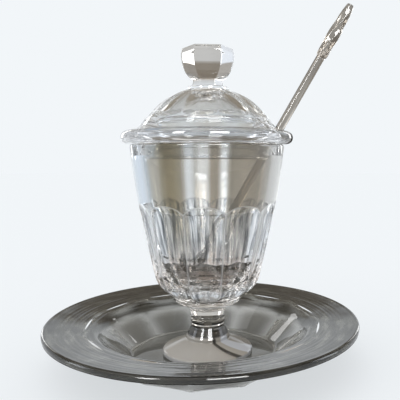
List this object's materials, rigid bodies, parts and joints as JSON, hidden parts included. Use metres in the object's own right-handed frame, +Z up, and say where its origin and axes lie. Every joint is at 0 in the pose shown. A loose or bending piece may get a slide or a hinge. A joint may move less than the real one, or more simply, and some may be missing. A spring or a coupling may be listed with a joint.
{
  "type": "mustard pot",
  "caption": "Footed cut-crystal mustard pot on a wide saucer, with a domed lid notched for its glass spoon.",
  "frame": {"origin": "middle of the saucer's flat base, on the surface it stands on", "axes": "+Z up along the pot's height; +X to the right in the picture, the side to which the spoon leans; +Y away from the viewer"},
  "size_m": [0.14, 0.14, 0.1597],
  "materials": {
    "crystal": "cut and polished lead crystal",
    "spoon_glass": "drawn glass, fire polished"
  },
  "bodies": {
    "saucer": {"saucer": "crystal"},
    "pot": {"pot": "crystal"},
    "lid": {"lid": "crystal"},
    "spoon": {"spoon": "spoon_glass"}
  },
  "joints": [
    {"name": "pot_lift", "type": "slide", "parent": "saucer", "child": "pot", "axis": [0, 0, 1], "range_m": [0, 0.05]},
    {"name": "lid_lift", "type": "slide", "parent": "pot", "child": "lid", "axis": [0, 0, 1], "range_m": [0, 0.075]},
    {"name": "spoon_draw", "type": "slide", "parent": "pot", "child": "spoon", "axis": [0.4968, -0.0787, 0.8643], "range_m": [0, 0.032]}
  ]
}
